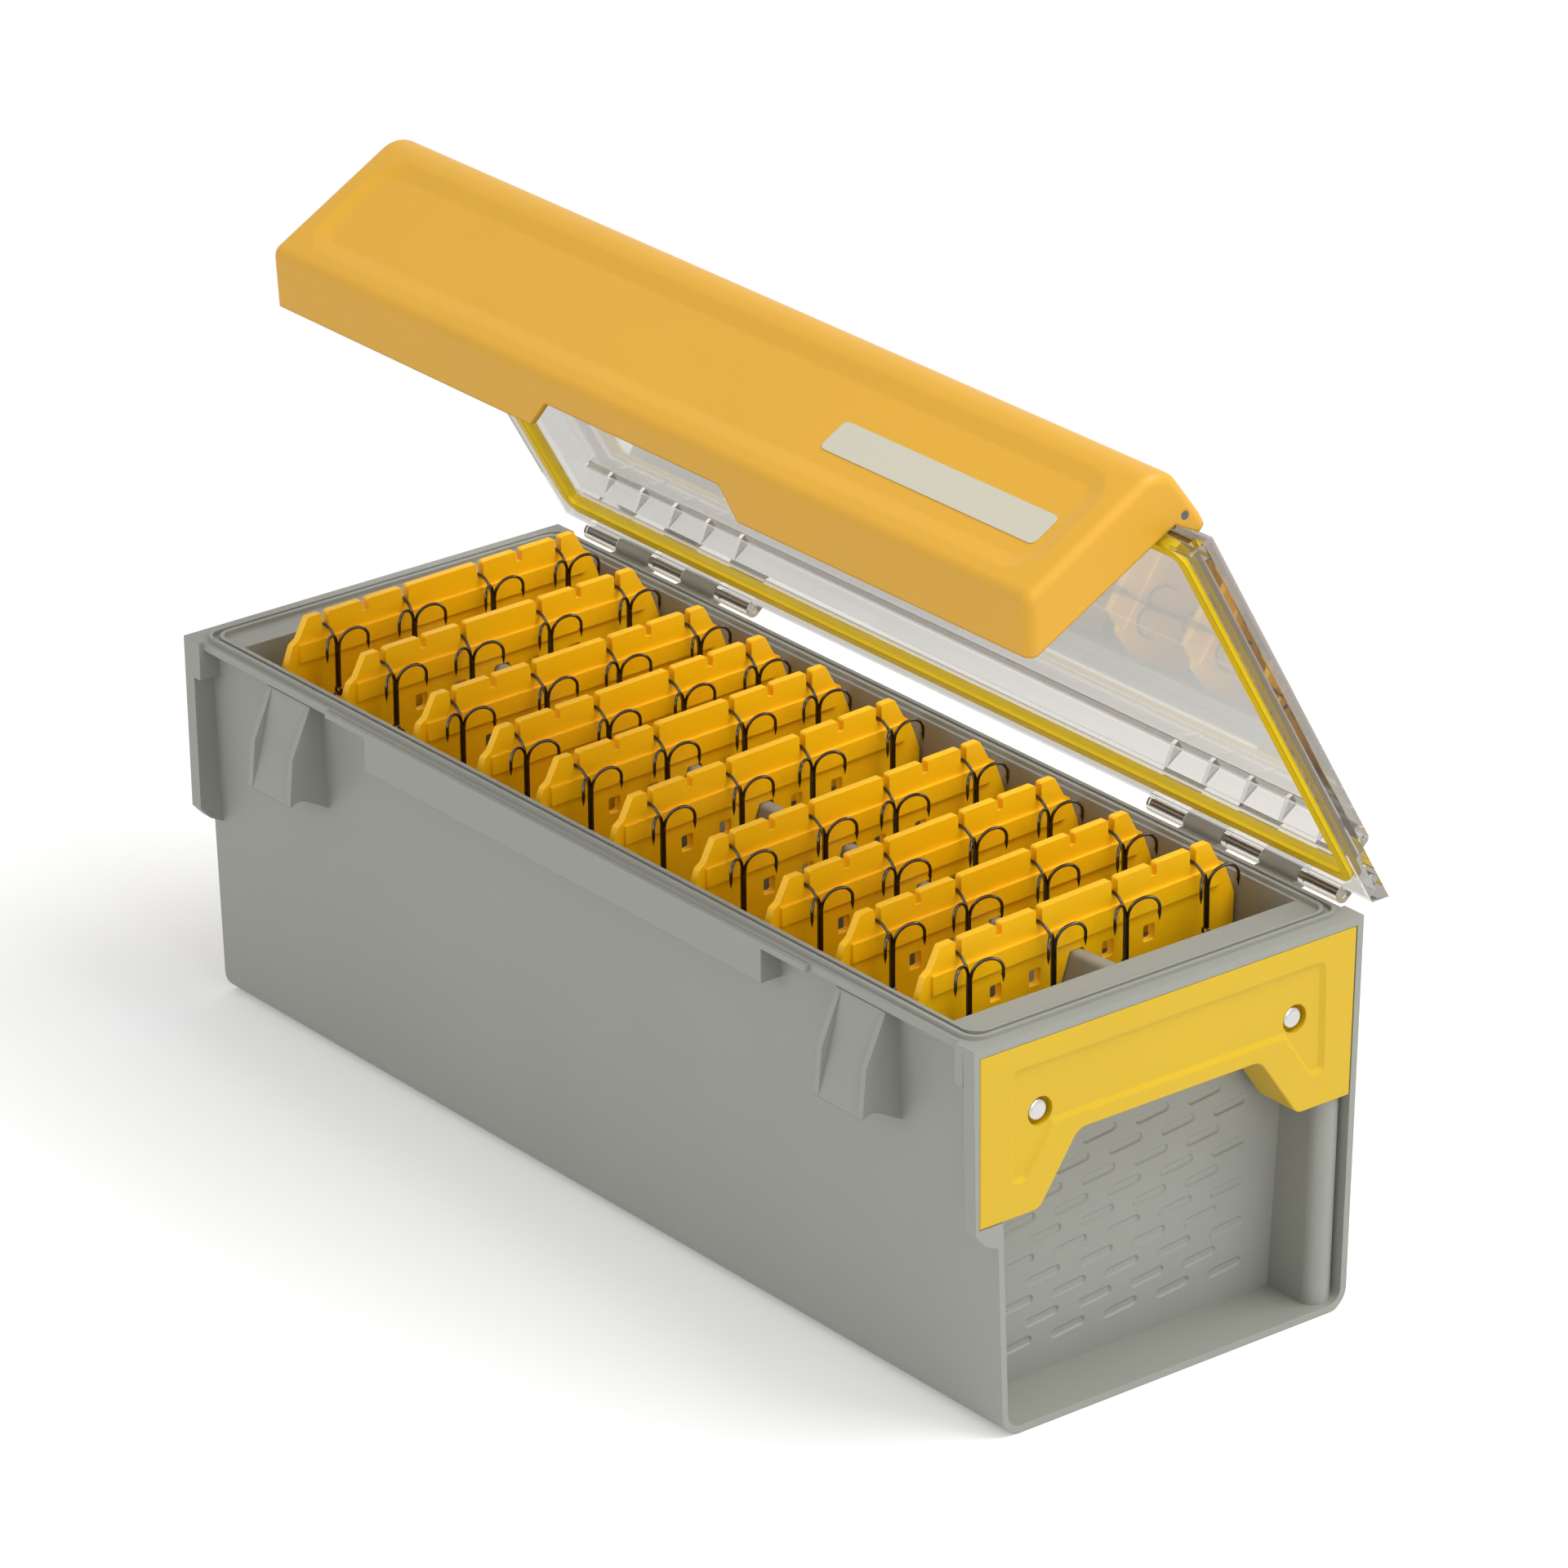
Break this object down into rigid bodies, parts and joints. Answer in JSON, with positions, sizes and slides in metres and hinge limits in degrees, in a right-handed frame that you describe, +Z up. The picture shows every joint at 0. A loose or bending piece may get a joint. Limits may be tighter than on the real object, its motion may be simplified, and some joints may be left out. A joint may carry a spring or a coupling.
{
  "type": "lure box",
  "caption": "Open-topped grey tub with carrying grips at both ends, a clear hinged lid with a swinging front latch panel, and lift-out racks that hang treble hooks.",
  "frame": {"origin": "middle of the tub's underside, on the surface it stands on", "axes": "+X along the box towards the right end as seen from the front, +Y from the latch side to the hinge side, +Z up"},
  "size_m": [0.451, 0.1883, 0.3212],
  "materials": {
    "grey_plastic": "satin",
    "yellow_plastic": "satin",
    "rack_plastic": "satin",
    "latch_plastic": "satin",
    "clear_plastic": "polished",
    "gasket_foam": "matt",
    "steel": "plated",
    "dark_steel": "satin",
    "black_nickel": "black nickel",
    "label_film": "satin"
  },
  "bodies": {
    "tub": {"tub": "grey_plastic", "handle_plate_left": "yellow_plastic", "handle_plate_right": "yellow_plastic", "handle_screws_left": "steel", "handle_screws_right": "steel", "hinge_pin_left": "steel", "hinge_pin_right": "steel"},
    "lid": {"clear_lid": "clear_plastic", "lid_gasket": "gasket_foam", "latch_pin_left": "dark_steel", "latch_pin_right": "dark_steel"},
    "latch": {"latch_panel": "latch_plastic", "label": "label_film"},
    "rack_01": {"hook_rack_01": "rack_plastic", "treble_hooks_01": "black_nickel", "split_rings_01": "black_nickel"},
    "rack_02": {"hook_rack_02": "rack_plastic", "treble_hooks_02": "black_nickel", "split_rings_02": "black_nickel"},
    "rack_03": {"hook_rack_03": "rack_plastic", "treble_hooks_03": "black_nickel", "split_rings_03": "black_nickel"},
    "rack_04": {"hook_rack_04": "rack_plastic", "treble_hooks_04": "black_nickel", "split_rings_04": "black_nickel"},
    "rack_05": {"hook_rack_05": "rack_plastic", "treble_hooks_05": "black_nickel", "split_rings_05": "black_nickel"},
    "rack_06": {"hook_rack_06": "rack_plastic", "treble_hooks_06": "black_nickel", "split_rings_06": "black_nickel"},
    "rack_07": {"hook_rack_07": "rack_plastic", "treble_hooks_07": "black_nickel", "split_rings_07": "black_nickel"},
    "rack_08": {"hook_rack_08": "rack_plastic", "treble_hooks_08": "black_nickel", "split_rings_08": "black_nickel"},
    "rack_09": {"hook_rack_09": "rack_plastic", "treble_hooks_09": "black_nickel", "split_rings_09": "black_nickel"},
    "rack_10": {"hook_rack_10": "rack_plastic", "treble_hooks_10": "black_nickel", "split_rings_10": "black_nickel"}
  },
  "joints": [
    {"name": "lid_hinge", "type": "hinge", "parent": "tub", "child": "lid", "pos_m": [0, 0.08895, 0.1473], "axis": [-1, 0, 0], "range_deg": [-60.5, 44.5]},
    {"name": "latch_hinge", "type": "hinge", "parent": "lid", "child": "latch", "pos_m": [0, 0.01553, 0.30407], "axis": [-1, 0, 0], "range_deg": [0, 35]},
    {"name": "rack_01_lift", "type": "slide", "parent": "tub", "child": "rack_01", "axis": [0, 0, 1], "range_m": [0, 0.03]},
    {"name": "rack_02_lift", "type": "slide", "parent": "tub", "child": "rack_02", "axis": [0, 0, 1], "range_m": [0, 0.03]},
    {"name": "rack_03_lift", "type": "slide", "parent": "tub", "child": "rack_03", "axis": [0, 0, 1], "range_m": [0, 0.03]},
    {"name": "rack_04_lift", "type": "slide", "parent": "tub", "child": "rack_04", "axis": [0, 0, 1], "range_m": [0, 0.03]},
    {"name": "rack_05_lift", "type": "slide", "parent": "tub", "child": "rack_05", "axis": [0, 0, 1], "range_m": [0, 0.03]},
    {"name": "rack_06_lift", "type": "slide", "parent": "tub", "child": "rack_06", "axis": [0, 0, 1], "range_m": [0, 0.03]},
    {"name": "rack_07_lift", "type": "slide", "parent": "tub", "child": "rack_07", "axis": [0, 0, 1], "range_m": [0, 0.03]},
    {"name": "rack_08_lift", "type": "slide", "parent": "tub", "child": "rack_08", "axis": [0, 0, 1], "range_m": [0, 0.03]},
    {"name": "rack_09_lift", "type": "slide", "parent": "tub", "child": "rack_09", "axis": [0, 0, 1], "range_m": [0, 0.03]},
    {"name": "rack_10_lift", "type": "slide", "parent": "tub", "child": "rack_10", "axis": [0, 0, 1], "range_m": [0, 0.03]}
  ]
}
